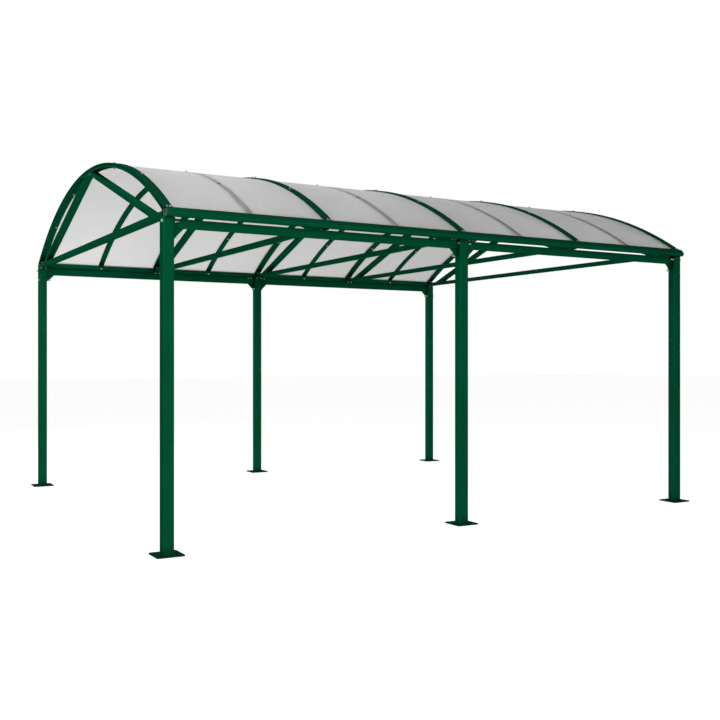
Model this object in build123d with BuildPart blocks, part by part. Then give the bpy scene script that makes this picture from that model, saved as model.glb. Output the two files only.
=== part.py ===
from build123d import *
import os
from math import atan2, cos, sqrt

# Bike shelter: six square steel posts carry two eaves profiles, five arched roof frames,
# four lighter ribs between them and a curved translucent sheet over each bay.
# X runs along the shelter, Y across it with the front at -Y, and Z is up from the ground.
os.makedirs("parts", exist_ok=True)

# Overall layout, in millimetres
row_length = 5000        # first post to last post along X, centre to centre
row_spacing = 4160       # front posts to back posts, centre to centre
bay_count = 4            # roof bays, one sheet each
frames_per_post = 2      # a post stands under every second roof frame
seat_height = 2335       # top of the posts, where the roof frames and eaves rest

# Posts and their base plates
post_size = 80
post_wall = 3
post_corner = 6
plate_size = 200
plate_thick = 10
plate_corner = 8         # corners cropped by this much
anchor_spacing = 140
anchor_hole = 18

# Lower beams between the posts, and the haunch brackets at their ends
beam_height = 64
beam_depth = 30
beam_wall = 3
beam_drop = 12           # top of the beam below the seat
end_plate_thick = 6
end_plate_height = 140
end_plate_drop = 5       # top of the end plate below the seat
haunch_reach = 72        # haunch length along the beam, from the end plate
haunch_toe = 12          # haunch width at its lower end
haunch_lip = 4           # straight edge of the haunch just under the beam
haunch_thick = 8
haunch_depth = 64        # below the beam

# Eaves profile: a hollow edge section with a rounded nose and a slot that holds the sheets
tie_bearing = 20         # how far the ties rest on the post tops, inside the eaves profile
eaves_height = 50        # inner face
eaves_wall = 3
relief_height = 6        # the underside rises by this much towards the inner face
relief_width = 36
slot_floor = 14          # lower end of the slot, above the seat
slot_play = 6            # between the sheets' edges and the end of the slot
void_setback = 13        # hollow of the box ends this far inside the end of the slot
lip_gap = 8              # between the arches' feet and the lip's inner edge
lip_thick = 13           # lip over the sheets, at its inner edge
lip_length = 35          # lip from its inner edge to the shoulder
lip_fall = 8             # shoulder below the lip's inner edge
nose_reach = 20          # foremost point of the nose, beyond the end of the slot
nose_rise = 22           # foremost point above the seat
nose_undercut = 10       # outer corner of the drip, inside the foremost point
drip_depth = 5           # drip under the nose, below the seat
drip_gap = 4             # between the posts' outer face and the drip
eaves_corner = 8
eaves_end = 30           # past the end posts' centre, caps included
cap_thick = 3

# Roof frames: arches and ribs as solid flat bars, ties and rafters in box tube
arch_rise = 597          # arch underside above the top of the eaves profile
arch_width = 60
arch_depth = 20
rib_width = 50
tube_width = 60
tube_depth = 40
tube_wall = 2
rafter_setback = 300     # from the tie's end to the rafter's inner toe
apex_gap = 10            # between the blunt tips of the two rafters, under the crown

# Roof covering
sheet_thick = 6
sheet_joint = 6          # gap between neighbouring sheets, under a cover strip
sheet_end = 25           # last sheet beyond the end frame's centre
strip_width = 66
strip_height = 11
clearance = 0.3          # between curved layers that lie on each other

# Worked out from the sizes above
bay = row_length / bay_count
frame_x = [i * bay - row_length / 2 for i in range(bay_count + 1)]
post_x = frame_x[::frames_per_post]
post_y = row_spacing / 2
post_side = {"front": -1, "back": 1}
column_names = ["left", "middle", "right"]
tie_top = seat_height + tube_depth
eaves_in = post_y - post_size / 2 + tie_bearing
eaves_top = seat_height + eaves_height
rafter_foot = eaves_in - rafter_setback
crown = eaves_top + arch_rise
arch_radius = (eaves_in**2 + arch_rise**2) / (2 * arch_rise)
arc_z = crown - arch_radius
sheet_radius = arch_radius + arch_depth + clearance
slot_in = sheet_radius - clearance
slot_out = sheet_radius + sheet_thick + clearance
beam_top = seat_height - beam_drop
beam_bottom = beam_top - beam_height


def save(builder, name):
    builder.part.label = name
    export_step(builder.part, f"parts/{name}.step")


def height_at(radius, y):
    """Height of the roof circle of this radius at a distance y from the centre line."""
    return arc_z + sqrt(radius**2 - y**2)


def reach_at(radius, z):
    """Distance from the centre line at which the roof circle of this radius has height z."""
    return sqrt(radius**2 - (z - arc_z) ** 2)


def arc_between(radius, y_from, y_to):
    """Arc of the roof circle of this radius between two distances from the centre line."""
    middle = (y_from + y_to) / 2
    ThreePointArc(
        (y_from, height_at(radius, y_from)),
        (middle, height_at(radius, middle)),
        (y_to, height_at(radius, y_to)),
    )


def arc_band(inner, outer, y_inner, y_outer):
    """Curved band over the roof, between two radii and cut at both ends."""
    with BuildSketch() as band:
        with BuildLine():
            arc_between(outer, -y_outer, y_outer)
            Line((y_outer, height_at(outer, y_outer)), (y_inner, height_at(inner, y_inner)))
            arc_between(inner, y_inner, -y_inner)
            Line((-y_inner, height_at(inner, y_inner)), (-y_outer, height_at(outer, y_outer)))
        make_face()
    return band.sketch


# Base plates, in one row along each side, and the posts on them
for side, sign in post_side.items():
    with BuildPart() as base_plates:
        with BuildSketch():
            for x in post_x:
                with Locations((x, sign * post_y)):
                    Rectangle(plate_size, plate_size)
            chamfer(vertices(), plate_corner)
            for x in post_x:
                with Locations((x, sign * post_y)):
                    with GridLocations(anchor_spacing, anchor_spacing, 2, 2):
                        Circle(anchor_hole / 2, mode=Mode.SUBTRACT)
        extrude(amount=plate_thick)
    save(base_plates, f"base_plates_{side}")

    for column, x in zip(column_names, post_x):
        with BuildPart() as post:
            with BuildSketch(Plane.XY.offset(plate_thick)):
                with Locations((x, sign * post_y)):
                    RectangleRounded(post_size, post_size, post_corner)
                    bore = post_size - 2 * post_wall
                    Rectangle(bore, bore, mode=Mode.SUBTRACT)
            extrude(amount=seat_height - plate_thick)
        save(post, f"post_{side}_{column}")

# Lower beams, one between each pair of neighbouring posts, and their haunch brackets
span_names = ["left", "right"]
for side, sign in post_side.items():
    for span, x_from, x_to in zip(span_names, post_x[:-1], post_x[1:]):
        beam_from = x_from + post_size / 2 + end_plate_thick
        beam_to = x_to - post_size / 2 - end_plate_thick
        with BuildPart() as lower_beam:
            with BuildSketch(Plane.YZ.offset(beam_from)):
                with Locations((sign * post_y, beam_top - beam_height / 2)):
                    Rectangle(beam_depth, beam_height)
                    Rectangle(beam_depth - 2 * beam_wall, beam_height - 2 * beam_wall, mode=Mode.SUBTRACT)
            extrude(amount=beam_to - beam_from)
        save(lower_beam, f"lower_beam_{side}_{span}")

    plate_middle = seat_height - end_plate_drop - end_plate_height / 2
    with BuildPart() as haunch_brackets:
        for x_from, x_to in zip(post_x[:-1], post_x[1:]):
            for post_face, inward in ((x_from + post_size / 2, 1), (x_to - post_size / 2, -1)):
                plate_x = post_face + inward * end_plate_thick
                with BuildSketch(Plane.YZ.offset(post_face)):
                    with Locations((sign * post_y, plate_middle)):
                        Rectangle(post_size, end_plate_height)
                extrude(amount=inward * end_plate_thick)
                with BuildSketch(Plane.XZ.offset(-sign * post_y)):
                    with BuildLine():
                        Polyline(
                            (plate_x, beam_bottom),
                            (plate_x + inward * haunch_reach, beam_bottom),
                            (plate_x + inward * haunch_reach, beam_bottom - haunch_lip),
                            (plate_x + inward * haunch_toe, beam_bottom - haunch_depth),
                            (plate_x, beam_bottom - haunch_depth),
                            close=True,
                        )
                    make_face()
                extrude(amount=haunch_thick / 2, both=True)
    save(haunch_brackets, f"haunch_brackets_{side}")

# Eaves profiles and their end caps. The section follows the roof's circle where it holds the sheets
foot_out = reach_at(slot_in, eaves_top)
slot_end = reach_at(slot_in, seat_height + slot_floor)
lip_edge = foot_out + lip_gap
lip_under = height_at(slot_out, lip_edge)
shoulder_point = (lip_edge + lip_length, lip_under + lip_thick - lip_fall)
nose_point = (slot_end + nose_reach, seat_height + nose_rise)
drip_out = (slot_end + nose_reach - nose_undercut, seat_height - drip_depth)
drip_root = post_y + post_size / 2 + drip_gap
sheet_edge = slot_end - slot_play
strip_edge = lip_edge - clearance


def nearest_vertex(point):
    return min(vertices(), key=lambda v: (v.X - point[0]) ** 2 + (v.Y - point[1]) ** 2)


with BuildSketch() as eaves_outline:
    with BuildLine():
        Polyline(
            (foot_out, eaves_top),
            (eaves_in, eaves_top),
            (eaves_in, seat_height + relief_height),
            (eaves_in + relief_width, seat_height),
            (drip_root, seat_height),
            (drip_root + drip_depth, seat_height - drip_depth),
            drip_out,
            nose_point,
            shoulder_point,
            (lip_edge, lip_under + lip_thick),
            (lip_edge, lip_under),
        )
        arc_between(slot_out, lip_edge, slot_end)
        Line((slot_end, height_at(slot_out, slot_end)), (slot_end, height_at(slot_in, slot_end)))
        arc_between(slot_in, slot_end, foot_out)
    make_face()
    fillet([nearest_vertex(point) for point in (drip_out, nose_point, shoulder_point)], eaves_corner)

under_slot = slot_in - eaves_wall
void_top = eaves_top - eaves_wall
void_bottom = seat_height + eaves_wall
void_in = eaves_in + eaves_wall
void_out = slot_end - void_setback
void_corner = reach_at(under_slot, void_top)
with BuildSketch() as eaves_void:
    with BuildLine():
        Polyline(
            (void_corner, void_top),
            (void_in, void_top),
            (void_in, void_bottom + relief_height),
            (eaves_in + relief_width, void_bottom),
            (void_out, void_bottom),
            (void_out, height_at(under_slot, void_out)),
        )
        arc_between(under_slot, void_out, void_corner)
    make_face()

profile_half = row_length / 2 + eaves_end - cap_thick
for side, sign in post_side.items():
    with BuildPart() as eaves_profile:
        with BuildSketch(Plane.YZ.offset(-profile_half)):
            add(eaves_outline.sketch)
            add(eaves_void.sketch, mode=Mode.SUBTRACT)
            if sign < 0:
                mirror(about=Plane.YZ, mode=Mode.REPLACE)
        extrude(amount=2 * profile_half)
    save(eaves_profile, f"eaves_profile_{side}")

with BuildPart() as eaves_end_caps:
    for x in (-profile_half - cap_thick, profile_half):
        with BuildSketch(Plane.YZ.offset(x)):
            add(eaves_outline.sketch)
            mirror(about=Plane.YZ)
        extrude(amount=cap_thick)
save(eaves_end_caps, "eaves_end_caps")

# Arches and ribs, rolled to the roof's curve and standing on the eaves profiles
foot_in = reach_at(arch_radius, eaves_top)


def rolled_bar(x, width, name):
    with BuildPart() as bar:
        with BuildSketch(Plane.YZ.offset(x)):
            add(arc_band(arch_radius, arch_radius + arch_depth, foot_in, foot_out))
        extrude(amount=width / 2, both=True)
    save(bar, name)


for i, x in enumerate(frame_x, start=1):
    rolled_bar(x, arch_width, f"frame_{i}_arch")

for i, x in enumerate(frame_x[:-1], start=1):
    rolled_bar(x + bay / 2, rib_width, f"rib_{i}")

# Ties from eaves to eaves, and two rafters from each tie to the underside of the arch
steepness = (crown - tie_top) / rafter_foot
slope = atan2(crown - tie_top, rafter_foot)
rafter_rise = tube_depth / cos(slope)
wall_rise = tube_wall / cos(slope)
cope_radius = arch_radius - clearance


def cope_at(line_height):
    """Where a line of the rafter's slope, this high on the centre line, meets the arch."""
    a = 1 + steepness**2
    b = -2 * steepness * (line_height - arc_z)
    c = (line_height - arc_z) ** 2 - cope_radius**2
    return (-b - sqrt(b**2 - 4 * a * c)) / (2 * a)


tip = apex_gap / 2
shoulder = cope_at(crown + rafter_rise)
heel_foot = rafter_foot + rafter_rise / steepness
with BuildSketch() as rafter_side:
    with BuildLine():
        Polyline(
            (tip, height_at(cope_radius, tip)),
            (tip, crown - tip * steepness),
            (rafter_foot, tie_top),
            (heel_foot, tie_top),
            (shoulder, height_at(cope_radius, shoulder)),
        )
        arc_between(cope_radius, shoulder, tip)
    make_face()

with BuildSketch() as rafter_bore:
    bore_low = crown + wall_rise
    bore_high = crown + rafter_rise - wall_rise
    past_foot = heel_foot + tube_depth
    with BuildLine():
        Polyline(
            (0, bore_low),
            (past_foot, bore_low - past_foot * steepness),
            (past_foot, bore_high - past_foot * steepness),
            (0, bore_high),
            close=True,
        )
    make_face()

for i, x in enumerate(frame_x, start=1):
    with BuildPart() as tie:
        with BuildSketch(Plane.XZ.offset(-eaves_in)):
            with Locations((x, seat_height + tube_depth / 2)):
                Rectangle(tube_width, tube_depth)
                Rectangle(tube_width - 2 * tube_wall, tube_depth - 2 * tube_wall, mode=Mode.SUBTRACT)
        extrude(amount=2 * eaves_in)
    save(tie, f"frame_{i}_tie")

    with BuildPart() as rafters:
        with BuildSketch(Plane.YZ.offset(x)):
            add(rafter_side.sketch)
        extrude(amount=tube_width / 2, both=True)
        with BuildSketch(Plane.YZ.offset(x)):
            add(rafter_bore.sketch)
        extrude(amount=tube_width / 2 - tube_wall, both=True, mode=Mode.SUBTRACT)
        mirror(about=Plane.XZ)
    save(rafters, f"frame_{i}_rafters")

# Roof sheets, one a bay, held along the eaves and meeting under the cover strips
for i, x in enumerate(frame_x[:-1], start=1):
    sheet_from = x - sheet_end if i == 1 else x + sheet_joint / 2
    sheet_to = x + bay + sheet_end if i == bay_count else x + bay - sheet_joint / 2
    with BuildPart() as roof_sheet:
        with BuildSketch(Plane.YZ.offset(sheet_from)):
            add(arc_band(sheet_radius, sheet_radius + sheet_thick, sheet_edge, sheet_edge))
        extrude(amount=sheet_to - sheet_from)
    save(roof_sheet, f"roof_sheet_{i}")

# Cover strips, one rolled flat bar over each arch and its joint of two sheets
strip_in = sheet_radius + sheet_thick + clearance
for i, x in enumerate(frame_x, start=1):
    with BuildPart() as cover_strip:
        with BuildSketch(Plane.YZ.offset(x)):
            add(arc_band(strip_in, strip_in + strip_height, strip_edge, strip_edge))
        extrude(amount=strip_width / 2, both=True)
    save(cover_strip, f"cover_strip_{i}")
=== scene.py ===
import math

import bmesh
import bpy
from mathutils import Matrix, Vector


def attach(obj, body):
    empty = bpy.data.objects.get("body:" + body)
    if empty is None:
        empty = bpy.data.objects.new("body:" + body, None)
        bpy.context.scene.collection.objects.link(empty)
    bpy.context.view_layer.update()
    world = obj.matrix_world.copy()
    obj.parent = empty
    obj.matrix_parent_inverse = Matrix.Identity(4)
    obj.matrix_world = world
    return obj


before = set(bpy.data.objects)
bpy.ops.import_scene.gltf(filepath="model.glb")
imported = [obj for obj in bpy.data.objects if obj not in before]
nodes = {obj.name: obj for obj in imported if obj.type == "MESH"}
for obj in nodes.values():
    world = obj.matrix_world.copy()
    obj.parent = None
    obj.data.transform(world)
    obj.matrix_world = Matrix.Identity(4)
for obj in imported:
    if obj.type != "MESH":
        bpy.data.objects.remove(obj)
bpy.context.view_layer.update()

# Sizes of the shelter in metres, as in the CAD
post_x = (-2.5, 0.0, 2.5)
frame_x = (-2.5, -1.25, 0.0, 1.25, 2.5)
rib_x = (-1.875, -0.625, 0.625, 1.875)
row_y = (-2.08, 2.08)
post_half = 0.04
tube_half = 0.03
arch_half = 0.03
rib_half = 0.025
end_plate = 0.006
plate_top = 0.01
seat = 2.335
tie_top = seat + 0.04
eaves_in = 2.06
eaves_top = 2.385
rafter_toe = eaves_in - 0.3
rise = 0.597
arch_radius = (eaves_in**2 + rise**2) / (2 * rise)
arc_z = eaves_top + rise - arch_radius
arch_depth = 0.02
sheet_depth = 0.006
strip_depth = 0.011
laid_gap = 0.0003
sheet_top_radius = arch_radius + arch_depth + laid_gap + sheet_depth
strip_top_radius = sheet_top_radius + laid_gap + strip_depth


def rgb(r, g, b):
    """Linear colour from an ordinary screen colour of 0 to 255."""
    out = []
    for c in (r, g, b):
        c /= 255
        out.append(c / 12.92 if c <= 0.04045 else ((c + 0.055) / 1.055) ** 2.4)
    return (*out, 1)


# Colours of paint, sheets, caps and fixings
paint_dark, paint_light = rgb(2, 64, 39), rgb(1, 73, 46)
paint_thin = rgb(10, 54, 38)
paint_sheen = rgb(30, 170, 120)
# Darker grey-green of upward faces, partly dust and partly painted shade
dust_and_shade_film = rgb(6, 32, 22)
end_tape = rgb(2, 44, 28)
flute_dark, flute_light = rgb(209, 208, 208), rgb(249, 248, 248)
cap_paint = rgb(14, 44, 33)
plug_dark, plug_light = rgb(62, 84, 74), rgb(80, 104, 93)
zinc_dark, zinc_light = rgb(146, 152, 153), rgb(190, 196, 197)
rubber_dark, rubber_light = rgb(24, 25, 25), rgb(52, 54, 54)


# Helpers for node trees. A value may be a plain one or a socket to link
def feed(tree, inlet, value):
    if isinstance(value, bpy.types.NodeSocket):
        tree.links.new(value, inlet)
    else:
        inlet.default_value = value


def node(tree, kind, **values):
    """New node. A value goes to the input of its name, with _ for a space, or to a property."""
    made = tree.nodes.new(kind)
    for key, value in values.items():
        name = key.replace("_", " ")
        if name in made.inputs:
            feed(tree, made.inputs[name], value)
        else:
            setattr(made, key, value)
    return made


def maths(tree, operation, *values, kind="ShaderNodeMath", **settings):
    """Number worked out from values or sockets, given in order."""
    made = node(tree, kind, operation=operation, **settings)
    for inlet, value in zip(made.inputs, values):
        feed(tree, inlet, value)
    return made.outputs["Value"]


def ranged(tree, value, to=(0.0, 1.0), span=(0.0, 1.0), smooth=False):
    """A number carried from one span to another, and held at its ends."""
    made = node(
        tree, "ShaderNodeMapRange", interpolation_type="SMOOTHSTEP" if smooth else "LINEAR",
        Value=value, From_Min=span[0], From_Max=span[1], To_Min=to[0], To_Max=to[1],
    )
    return made.outputs["Result"]


def object_place(tree):
    return node(tree, "ShaderNodeTexCoord").outputs["Object"]


def surface_normal(tree):
    return node(tree, "ShaderNodeNewGeometry").outputs["Normal"]


def part(tree, vector, axis):
    """One coordinate of a place or a direction."""
    return node(tree, "ShaderNodeSeparateXYZ", Vector=vector).outputs[axis]


def pattern(tree, kind, output, **values):
    """Texture laid out by the object's own coordinates."""
    return node(tree, kind, Vector=object_place(tree), **values).outputs[output]


def two_tone(tree, value, first, second, stops=(0.0, 1.0)):
    """Colour ramp between two colours."""
    ramp = node(tree, "ShaderNodeValToRGB", Fac=value)
    for element, stop, colour in zip(ramp.color_ramp.elements, stops, (first, second)):
        element.position = stop
        element.color = colour
    return ramp.outputs["Color"]


def mixed(tree, share, first, second, **settings):
    """Colour between two others, by the share of the second."""
    made = node(
        tree, "ShaderNodeMix", data_type="RGBA", **settings, Factor=share, A=first, B=second
    )
    return made.outputs["Result"]


def multiplied(tree, colour, factor):
    return mixed(tree, 1.0, colour, factor, blend_type="MULTIPLY")


def relief(tree, height, strength, distance):
    """Normal of a surface with fine relief."""
    made = node(tree, "ShaderNodeBump", Height=height, Strength=strength, Distance=distance)
    return made.outputs["Normal"]


def principled(tree, **values):
    return node(tree, "ShaderNodeBsdfPrincipled", **values).outputs["BSDF"]


def blended(tree, share, first, second):
    """Shader between two others, by the share of the second."""
    made = node(tree, "ShaderNodeMixShader", Fac=share)
    tree.links.new(first, made.inputs[1])
    tree.links.new(second, made.inputs[2])
    return made.outputs["Shader"]


def empty_material(name):
    made = bpy.data.materials.new(name)
    made.use_nodes = True
    made.node_tree.nodes.clear()
    return made, made.node_tree


def add_painted_corner_shade(tree, colour, reach, dark):
    """Painted shade: darkens a colour in corners and joints, within the given reach, where shade
    falls.
    """
    shade = node(tree, "ShaderNodeAmbientOcclusion", Distance=reach, samples=6).outputs["AO"]
    return multiplied(tree, colour, ranged(tree, shade, to=(dark, 1.0), span=(0.25, 0.8)))


# Painted shade at the feet of arches and ribs, fading out upward between two heights over the eaves
foot_shade_dark = 0.12
foot_shade_low, foot_shade_high = eaves_top + 0.025, eaves_top + 0.085
foot_shade_unevenness = 0.03


def add_painted_foot_shade(tree, colour):
    """Painted shade where arches and ribs stand on the eaves: darker towards their feet, in uneven
    blotches.
    """
    blotch = pattern(tree, "ShaderNodeTexNoise", "Fac", Scale=22.0, Detail=4.0)
    height = part(tree, object_place(tree), "Z")
    height = maths(tree, "MULTIPLY_ADD", blotch, foot_shade_unevenness, height)
    amount = ranged(tree, height, to=(foot_shade_dark, 1.0), span=(foot_shade_low, foot_shade_high), smooth=True)
    return multiplied(tree, colour, amount)


def add_dust_and_top_shade(tree, colour):
    """Grey-green film on faces that look upward: partly dust, partly painted shade, as these faces
    get less light.
    """
    blotch = pattern(tree, "ShaderNodeTexNoise", "Fac", Scale=9.0, Detail=5.0)
    upward = part(tree, surface_normal(tree), "Z")
    upward = ranged(tree, upward, span=(0.15, 0.75), smooth=True)
    amount = maths(tree, "MULTIPLY", upward, ranged(tree, blotch, to=(0.7, 1.0)))
    return mixed(tree, amount, colour, dust_and_shade_film)


worn_reach = 0.0025
worn_share = 0.5
sheen_share = 0.05


def green_paint(name, shaded_feet=False, dusty_shaded_tops=False):
    """Gloss powder coat: uneven colour, orange peel, thin at the edges, painted shade in corners.
    """
    made, tree = empty_material(name)
    cloud = pattern(tree, "ShaderNodeTexNoise", "Fac", Scale=2.5, Detail=4.0)
    peel = pattern(tree, "ShaderNodeTexNoise", "Fac", Scale=450.0, Detail=2.0)
    gloss = ranged(tree, cloud, to=(0.3, 0.46))
    normal = relief(tree, peel, strength=0.08, distance=0.0006)
    rounded = node(tree, "ShaderNodeBevel", Radius=worn_reach, samples=3).outputs["Normal"]
    alike = maths(
        tree, "DOT_PRODUCT", rounded, surface_normal(tree), kind="ShaderNodeVectorMath"
    )
    worn = ranged(tree, alike, to=(0.0, worn_share), span=(0.98, 0.8))
    coat = two_tone(tree, cloud, paint_dark, paint_light, stops=(0.3, 0.7))
    coat = mixed(tree, worn, coat, paint_thin)
    # Upward faces darker and greyer: partly dust, partly painted shade
    if dusty_shaded_tops:
        coat = add_dust_and_top_shade(tree, coat)
    # Painted shade at the feet of arches and ribs
    if shaded_feet:
        coat = add_painted_foot_shade(tree, coat)
    # Painted shade in the corners and joints of the frame
    coat = add_painted_corner_shade(tree, coat, reach=0.14, dark=0.08)
    body = principled(tree, Base_Color=coat, Roughness=gloss, Specular_IOR_Level=0.0, Normal=normal)
    sheen = node(tree, "ShaderNodeBsdfGlossy", Color=paint_sheen, Roughness=gloss, Normal=normal)
    both = blended(tree, sheen_share, body, sheen.outputs["BSDF"])
    node(tree, "ShaderNodeOutputMaterial", Surface=both)
    return made


# The wave texture turns through 20 radians a metre at a scale of one
flute_pitch = 0.0167
flute_scale = 2 * math.pi / (20 * flute_pitch)
sheet_ior = 1.35
translucent_share = 0.73
clear_share_facing = 0.55
no_clear_from = 0.6
end_face_normal = 0.9


def sheet_material():
    """Cellular sheet: hazy, partly clear, flutes along the arch, and dark tape over its ends."""
    made, tree = empty_material("cellular_sheet")
    flutes = pattern(
        tree, "ShaderNodeTexWave", "Fac", wave_type="BANDS", bands_direction="X",
        Scale=flute_scale, Distortion=0.0,
    )
    cloud = pattern(tree, "ShaderNodeTexNoise", "Fac", Scale=1.7, Detail=3.0)
    tone = two_tone(tree, flutes, flute_dark, flute_light, stops=(0.2, 0.8))
    tone = multiplied(tree, tone, ranged(tree, cloud, to=(0.93, 1.0)))
    normal = relief(tree, flutes, strength=0.2, distance=0.001)
    top = principled(tree, Base_Color=tone, Roughness=0.35, Specular_IOR_Level=0.03, Normal=normal)
    through = node(tree, "ShaderNodeBsdfTranslucent", Color=tone).outputs["BSDF"]
    hazy = blended(tree, translucent_share, top, through)
    clear = node(tree, "ShaderNodeBsdfRefraction", Roughness=0.2, IOR=sheet_ior).outputs["BSDF"]
    mirror = node(tree, "ShaderNodeFresnel", IOR=sheet_ior).outputs["Fac"]
    clear_share = ranged(tree, mirror, to=(clear_share_facing, 0.0), span=(0.0, no_clear_from))
    body = blended(tree, clear_share, hazy, clear)
    endwise = maths(tree, "ABSOLUTE", part(tree, surface_normal(tree), "X"))
    taped = maths(tree, "GREATER_THAN", endwise, end_face_normal)
    tape = principled(tree, Base_Color=end_tape, Roughness=0.6, Specular_IOR_Level=0.0)
    node(tree, "ShaderNodeOutputMaterial", Surface=blended(tree, taped, body, tape))
    return made


plug_inner = 2.085
plug_top = 2.383
plug_blur = 0.001


def cap_material():
    """Grey moulded plug with a fine grain, set within the painted walls of the profile's end."""
    made, tree = empty_material("grey_cap")
    grain = pattern(tree, "ShaderNodeTexNoise", "Fac", Scale=300.0, Detail=3.0)
    reach = maths(tree, "ABSOLUTE", part(tree, object_place(tree), "Y"))
    height = part(tree, object_place(tree), "Z")
    outer = ranged(tree, reach, span=(plug_inner - plug_blur, plug_inner + plug_blur))
    below = ranged(tree, height, span=(plug_top + plug_blur, plug_top - plug_blur))
    plug = two_tone(tree, grain, plug_dark, plug_light, stops=(0.35, 0.65))
    colour = mixed(tree, maths(tree, "MULTIPLY", outer, below), cap_paint, plug)
    # Painted shade in the cap's corners and joints
    colour = add_painted_corner_shade(tree, colour, reach=0.02, dark=0.5)
    normal = relief(tree, grain, strength=0.15, distance=0.0004)
    body = principled(tree, Base_Color=colour, Roughness=0.6, Specular_IOR_Level=0.0, Normal=normal)
    node(tree, "ShaderNodeOutputMaterial", Surface=body)
    return made


def zinc_material():
    """Galvanised bolts: spangled grey metal, duller in patches."""
    made, tree = empty_material("zinc_plate")
    spangle = pattern(tree, "ShaderNodeTexVoronoi", "Distance", Scale=420.0)
    colour = two_tone(tree, spangle, zinc_dark, zinc_light)
    # Painted shade where the bolts meet the parts they hold
    colour = add_painted_corner_shade(tree, colour, reach=0.006, dark=0.4)
    dull = ranged(tree, spangle, to=(0.28, 0.5))
    normal = relief(tree, spangle, strength=0.2, distance=0.0002)
    body = principled(tree, Base_Color=colour, Roughness=dull, Metallic=0.85, Normal=normal)
    node(tree, "ShaderNodeOutputMaterial", Surface=body)
    return made


def rubber_material():
    """Dark sealing washers under the roof fixings."""
    made, tree = empty_material("sealing_rubber")
    bloom = pattern(tree, "ShaderNodeTexNoise", "Fac", Scale=160.0, Detail=3.0)
    colour = two_tone(tree, bloom, rubber_dark, rubber_light)
    normal = relief(tree, bloom, strength=0.2, distance=0.0003)
    body = principled(tree, Base_Color=colour, Roughness=0.8, Specular_IOR_Level=0.2, Normal=normal)
    node(tree, "ShaderNodeOutputMaterial", Surface=body)
    return made


green = green_paint("green_powder_coat")
green_footed = green_paint("green_powder_coat_shaded_feet", shaded_feet=True, dusty_shaded_tops=True)
green_roof = green_paint("green_powder_coat_dusty_shaded_tops", dusty_shaded_tops=True)
sheet = sheet_material()
zinc = zinc_material()
rubber = rubber_material()
cap = cap_material()
for name, obj in nodes.items():
    look = green
    if name.startswith("roof_sheet"):
        look = sheet
    elif name == "eaves_end_caps":
        look = cap
    elif name.endswith("_arch") or name.startswith("rib_"):
        look = green_footed
    elif name.startswith(("cover_strip", "eaves_profile", "base_plates")):
        look = green_roof
    obj.data.materials.clear()
    obj.data.materials.append(look)


# Fasteners, each kind one joined mesh. A form is turned about Z, and placed with Z outward
round_sides = 24
small_round_sides = 16
hexagon_sides = 6
metal_skin, rubber_skin = 0, 1


def placed(point, outward):
    turn = Vector(outward).to_track_quat("Z", "Y").to_matrix().to_4x4()
    return Matrix.Translation(point) @ turn


def turned(bm, place, outline, sides, skin=metal_skin):
    """Closed form through (radius, height) pairs, round or with a few flat sides."""
    rings = []
    for radius, height in outline:
        ring = []
        for i in range(sides):
            angle = 2 * math.pi * i / sides
            corner = Vector((radius * math.cos(angle), radius * math.sin(angle), height))
            ring.append(bm.verts.new(place @ corner))
        rings.append(ring)
    faces = []
    for low, high in zip(rings[:-1], rings[1:]):
        for i in range(sides):
            j = (i + 1) % sides
            faces.append(bm.faces.new((low[i], low[j], high[j], high[i])))
    faces.append(bm.faces.new(rings[0][::-1]))
    faces.append(bm.faces.new(rings[-1]))
    for face in faces:
        face.material_index = skin


def washer(bm, place, radius, low, high, skin=metal_skin):
    """Round washer with its upper edge broken."""
    edge_drop, edge_width = 0.0004, 0.0006
    outline = [(radius, low), (radius, high - edge_drop), (radius - edge_width, high)]
    turned(bm, place, outline, round_sides, skin)


def hexagon(bm, place, across, low, high):
    """Hexagonal head or nut with its corners chamfered at both ends."""
    face_reach, chamfer_slope = 0.96, 0.4
    corner = across / math.sqrt(3)
    inner = across / 2 * face_reach
    step = (corner - inner) * chamfer_slope
    outline = [(inner, low), (corner, low + step), (corner, high - step), (inner, high)]
    turned(bm, place, outline, hexagon_sides)


def threaded_end(bm, place, radius, low, high, pitch):
    root_radius, tip_radius = radius * 0.87, radius * 0.8
    outline = []
    turns = int((high - low) / pitch)
    for i in range(turns):
        outline.append((radius, low + i * pitch))
        outline.append((root_radius, low + (i + 0.5) * pitch))
    outline.append((radius, low + turns * pitch))
    outline.append((tip_radius, high))
    turned(bm, place, outline, small_round_sides)


# Each fastener by its washer's radius and top, its width across flats, the hexagon's top,
# and the bolt's thread that stands past a nut
small_washer = {"radius": 0.009, "washer_top": 0.0016, "across": 0.013}
small_thread = {"radius": 0.004, "high": 0.0124, "pitch": 0.00125}
small_head = {**small_washer, "top": 0.0069}
small_nut = {**small_washer, "top": 0.0084, "thread": small_thread}
large_washer = {"radius": 0.011, "washer_top": 0.0022, "across": 0.018}
large_thread = {"radius": 0.006, "high": 0.03, "pitch": 0.00175}
large_head = {**large_washer, "top": 0.0097}
large_nut = {**large_washer, "top": 0.0122, "thread": large_thread}
tip_head = {"radius": 0.0055, "washer_top": 0.001, "across": 0.008, "top": 0.0045}


def fasten(bm, size, point, outward):
    place = placed(point, outward)
    washer(bm, place, size["radius"], 0.0, size["washer_top"])
    hexagon(bm, place, size["across"], size["washer_top"], size["top"])
    if "thread" in size:
        threaded_end(bm, place, low=size["top"], **size["thread"])


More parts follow.
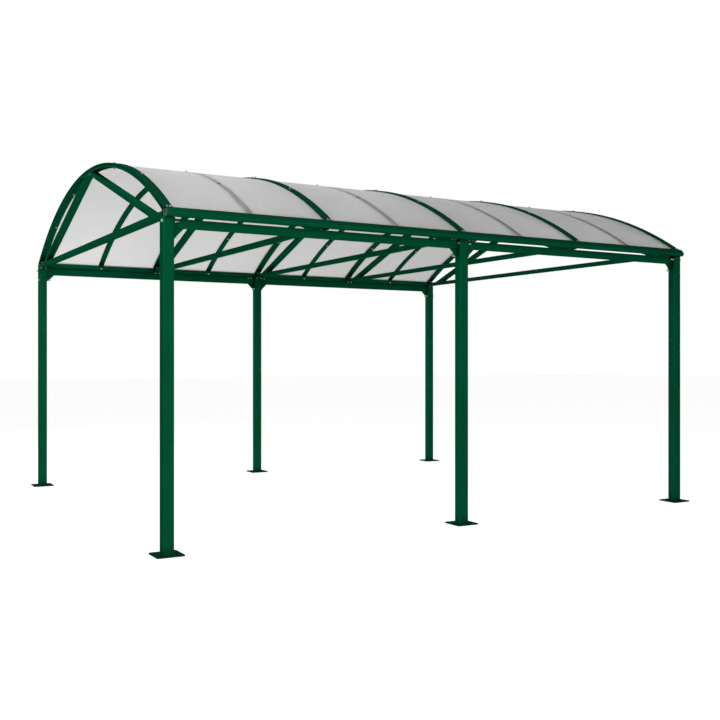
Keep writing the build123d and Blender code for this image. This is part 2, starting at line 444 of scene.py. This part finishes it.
def roof_screw(bm, point, outward):
    """Screw with a domed hexagonal head on a metal washer over a rubber one."""
    seal_radius, seal_top = 0.0082, 0.0022
    washer_radius, washer_top = 0.0078, 0.0036
    across, head_top = 0.008, 0.0095
    dome = [(0.0034, head_top), (0.003, 0.0106), (0.0016, 0.0112)]
    place = placed(point, outward)
    washer(bm, place, seal_radius, 0.0, seal_top, rubber_skin)
    washer(bm, place, washer_radius, seal_top, washer_top)
    hexagon(bm, place, across, washer_top, head_top)
    turned(bm, place, dome, small_round_sides)


def wide_washer(bm, point, outward):
    """Washer and seal under a rib's screw, on the bare sheet. Returns the screw's place on them."""
    seal_radius, seal_top = 0.018, 0.001
    washer_radius, washer_top = 0.013, 0.002
    place = placed(point, outward)
    washer(bm, place, seal_radius, 0.0, seal_top, rubber_skin)
    washer(bm, place, washer_radius, seal_top, washer_top)
    return point + outward * washer_top


def as_piece(bm, name, slot, *skins):
    bmesh.ops.recalc_face_normals(bm, faces=bm.faces)
    mesh = bpy.data.meshes.new(name)
    bm.to_mesh(mesh)
    bm.free()
    for skin in skins:
        mesh.materials.append(skin)
    piece = bpy.data.objects.new(name, mesh)
    bpy.context.scene.collection.objects.link(piece)
    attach(piece, "root")


def on_arc(x, y, radius):
    """A point of the roof circle of this radius, and the direction out of it."""
    height = math.sqrt(radius**2 - y**2)
    return Vector((x, y, arc_z + height)), Vector((0, y / radius, height / radius))


# Roof fixings through strips or sheets into arches and ribs, with nuts underneath. Over a joint of
# two sheets each sheet has its own screw, and at the two ends the screw stands inward
fixing_rows = (-1.455, -0.707, 0.707, 1.455)
fixing_offset = 0.012
screws = bmesh.new()
nuts = bmesh.new()
for x in frame_x + rib_x:
    on_rib = x in rib_x
    top_radius = sheet_top_radius if on_rib else strip_top_radius
    if on_rib:
        shifts = (0,)
    elif abs(x) == frame_x[-1]:
        shifts = (-math.copysign(fixing_offset, x),)
    else:
        shifts = (-fixing_offset, fixing_offset)
    for y in fixing_rows:
        for shift in shifts:
            point, outward = on_arc(x + shift, y, top_radius)
            if on_rib:
                point = wide_washer(screws, point, outward)
            roof_screw(screws, point, outward)
            point, outward = on_arc(x + shift, y, arch_radius)
            fasten(nuts, small_nut, point, -outward)

# Two screws on the lip at each foot of a cover strip, with nuts underneath
foot_row = 2.112
foot_half = 0.011
foot_nut_row = 2.046
lip_edge_y, lip_edge_z = 2.105, 2.4009
lip_slope = 8 / 35
lip_top = lip_edge_z - (foot_row - lip_edge_y) * lip_slope
for x in frame_x:
    for side in (-1, 1):
        for shift in (-foot_half, foot_half):
            point = Vector((x + shift, side * foot_row, lip_top))
            roof_screw(screws, point, (0, side * lip_slope, 1))
            point, outward = on_arc(x + shift, side * foot_nut_row, arch_radius)
            fasten(nuts, small_nut, point, -outward)

# One low round screw in each end cap
cap_face = 2.53
cap_screw_y, cap_screw_z = 2.142, 2.341
cap_screw = [(0.0036, 0.0), (0.0036, 0.0012), (0.0024, 0.0026)]
for end in (-1, 1):
    for side in (-1, 1):
        place = placed(Vector((end * cap_face, side * cap_screw_y, cap_screw_z)), (end, 0, 0))
        turned(screws, place, cap_screw, small_round_sides)
as_piece(screws, "roof_screws", None, zinc, rubber)

# Bolts of the eaves: one at each rib, two under each tie's end, and four for the joint over each
# middle post
rib_bolt_height = 2.353
tie_bolt_half = 0.022
tie_bolt_y = 2.028
splice_bolts = (-0.105, -0.07, 0.07, 0.105)
splice_y = 2.1
for side in (-1, 1):
    for x in rib_x:
        fasten(nuts, small_head, Vector((x, side * eaves_in, rib_bolt_height)), (0, -side, 0))
    for x in frame_x:
        for shift in (-tie_bolt_half, tie_bolt_half):
            fasten(nuts, small_nut, Vector((x + shift, side * tie_bolt_y, seat)), (0, 0, -1))
    for x in splice_bolts:
        fasten(nuts, small_head, Vector((x, side * splice_y, seat)), (0, 0, -1))
as_piece(nuts, "roof_nuts", None, zinc)

# Two bolts through each post and its end plates. The lower one of the front left post has no head
# outside
upper_bolt = (2.107, 2.302)
lower_bolt = (2.056, 2.202)
bolts = bmesh.new()
for side in (-1, 1):
    for x in post_x:
        left = x - post_half - (end_plate if x > post_x[0] else 0)
        right = x + post_half + (end_plate if x < post_x[-1] else 0)
        for y, z in (upper_bolt, lower_bolt):
            nut_left = x == post_x[-1] or (x == post_x[1] and z == lower_bolt[1])
            left_end, right_end = (large_nut, large_head) if nut_left else (large_head, large_nut)
            if (x, side, z) != (post_x[0], -1, lower_bolt[1]):
                fasten(bolts, left_end, Vector((left, side * y, z)), (-1, 0, 0))
            fasten(bolts, right_end, Vector((right, side * y, z)), (1, 0, 0))

# One bolt through the tips of each pair of rafters
tip_bolt = (-0.075, 2.966)
for x in frame_x:
    for side in (-1, 1):
        fasten(bolts, tip_head, Vector((x + side * tube_half, *tip_bolt)), (side, 0, 0))
as_piece(bolts, "frame_bolts", None, zinc)


# Weld beads, rippled along their length
def weld(bm, start, end, radius=0.0035):
    ripple, ripple_steps, ripple_depth = 0.006, 4, 0.16
    bead_sides = 8
    end_radius, end_reach = radius * 0.4, radius * 0.5
    run = Vector(end) - Vector(start)
    steps = max(ripple_steps, int(run.length / ripple) * ripple_steps)
    place = placed(start, run.normalized())
    outline = [(end_radius, -end_reach)]
    for i in range(steps + 1):
        wave = 1 + ripple_depth * math.cos(2 * math.pi * i / ripple_steps)
        outline.append((radius * wave, run.length * i / steps))
    outline.append((end_radius, run.length + end_reach))
    turned(bm, place, outline, bead_sides)


def weld_across(bm, x, half, y, z, radius):
    weld(bm, (x - half, y, z), (x + half, y, z), radius)


welds = bmesh.new()
square_corners = ((-1, -1), (1, -1), (1, 1), (-1, 1))
for x in post_x:
    for y in row_y:
        corners = [(x + i * post_half, y + j * post_half, plate_top) for i, j in square_corners]
        for i in range(4):
            weld(welds, corners[i - 1], corners[i])
as_piece(welds, "post_foot_welds", "green_paint", green)

# Welds of arches, ribs, rafters and ties. Those at the feet run a millimetre off the eaves
# profile's inner face
foot_weld, toe_weld = 0.004, 0.003
foot_weld_y = eaves_in - 0.001
frame_welds = bmesh.new()
for side in (-1, 1):
    for x in frame_x + rib_x:
        half = arch_half if x in frame_x else rib_half
        weld_across(frame_welds, x, half, side * foot_weld_y, eaves_top, foot_weld)
    for x in frame_x:
        weld_across(frame_welds, x, tube_half, side * rafter_toe, tie_top, toe_weld)
        weld_across(frame_welds, x, tube_half, side * foot_weld_y, tie_top, foot_weld)
as_piece(frame_welds, "frame_welds", "green_paint", green)


def background_ray(tree):
    """One for rays that meet plain white: from the camera, by gloss, or clear through glass."""
    rays = node(tree, "ShaderNodeLightPath").outputs
    first = maths(tree, "MAXIMUM", rays["Is Camera Ray"], rays["Is Glossy Ray"])
    clear = maths(
        tree, "SUBTRACT", rays["Is Transmission Ray"], rays["Is Diffuse Ray"], use_clamp=True
    )
    return maths(tree, "MAXIMUM", first, clear)


# The floor lights the shelter as a pale floor would, and is seen as white with a faint shadow
floor_half = 60.0
floor_drop = 0.0005
floor_tone = 0.8
shadow_tone = 0.25
floor_glow = 0.93
floor_mesh = bpy.data.meshes.new("floor")
floor_corners = [(i * floor_half, j * floor_half, 0) for i, j in square_corners]
floor_mesh.from_pydata(floor_corners, [], [(0, 1, 2, 3)])
floor = bpy.data.objects.new("floor", floor_mesh)
floor.location.z = -floor_drop
bpy.context.scene.collection.objects.link(floor)

white, tree = empty_material("floor_white")
paper = node(tree, "ShaderNodeBsdfDiffuse", Color=(*[floor_tone] * 3, 1)).outputs["BSDF"]
faint = node(tree, "ShaderNodeBsdfDiffuse", Color=(*[shadow_tone] * 3, 1)).outputs["BSDF"]
glow = node(tree, "ShaderNodeEmission", Strength=floor_glow).outputs["Emission"]
lit = tree.nodes.new("ShaderNodeAddShader")
tree.links.new(faint, lit.inputs[0])
tree.links.new(glow, lit.inputs[1])
floor_look = blended(tree, background_ray(tree), paper, lit.outputs["Shader"])
node(tree, "ShaderNodeOutputMaterial", Surface=floor_look)
floor_mesh.materials.append(white)

# The surroundings are seen as white, and light the shelter more from the sides than from overhead
horizon_light = 0.4
zenith_light = 0.05
world = bpy.data.worlds.new("studio")
bpy.context.scene.world = world
world.use_nodes = True
sky = world.node_tree
sky.nodes.clear()
toward = node(sky, "ShaderNodeTexCoord").outputs["Generated"]
level = ranged(sky, part(sky, toward, "Z"), to=(horizon_light, zenith_light))
plain_white = (1, 1, 1, 1)
soft = node(sky, "ShaderNodeBackground", Color=plain_white, Strength=level).outputs["Background"]
seen = node(sky, "ShaderNodeBackground", Color=plain_white, Strength=1.0).outputs["Background"]
node(sky, "ShaderNodeOutputWorld", Surface=blended(sky, background_ray(sky), soft, seen))


def soft_lamp(name, place, aim, size, power, mirrored=True):
    """Round lamp that isn't seen itself, and shows in gloss only if it is mirrored."""
    lamp = bpy.data.lights.new(name, "AREA")
    lamp.shape = "DISK"
    lamp.size = size
    lamp.energy = power
    holder = bpy.data.objects.new(name, lamp)
    holder.location = place
    holder.visible_transmission = False
    holder.visible_glossy = mirrored
    holder.visible_camera = False
    holder.rotation_euler = (Vector(aim) - Vector(place)).to_track_quat("-Z", "Y").to_euler()
    bpy.context.scene.collection.objects.link(holder)


# A broad lamp behind the camera, one over the left end of the roof, one behind the shelter, and a
# weak one under its roof
soft_lamp("front_lamp", (-5.5, -12.0, 3.6), (0, 0, 1.4), size=3.0, power=560.0)
soft_lamp("roof_lamp", (-3.0, -2.6, 6.0), (-1.4, -0.6, 2.7), size=2.0, power=165.0)
soft_lamp("back_lamp", (-4.4, 6.4, 5.4), (-1.0, 1.2, 2.8), size=3.0, power=390.0, mirrored=False)
soft_lamp("inner_lamp", (1.2, -1.6, 0.7), (0.9, 2.1, 2.3), size=2.4, power=16.0, mirrored=False)

# Camera, level and at a standing person's chest height
camera_place = (-4.581, -8.364, 1.346)
camera_turn = -29.93
camera = bpy.data.cameras.new("camera")
camera.sensor_width = 36.0
camera.lens = 47.01
camera.clip_end = 400.0
eye = bpy.data.objects.new("camera", camera)
eye.location = camera_place
eye.rotation_euler = (math.radians(90), 0, math.radians(camera_turn))
bpy.context.scene.collection.objects.link(eye)
bpy.context.scene.camera = eye
bpy.context.scene.view_settings.view_transform = "Standard"
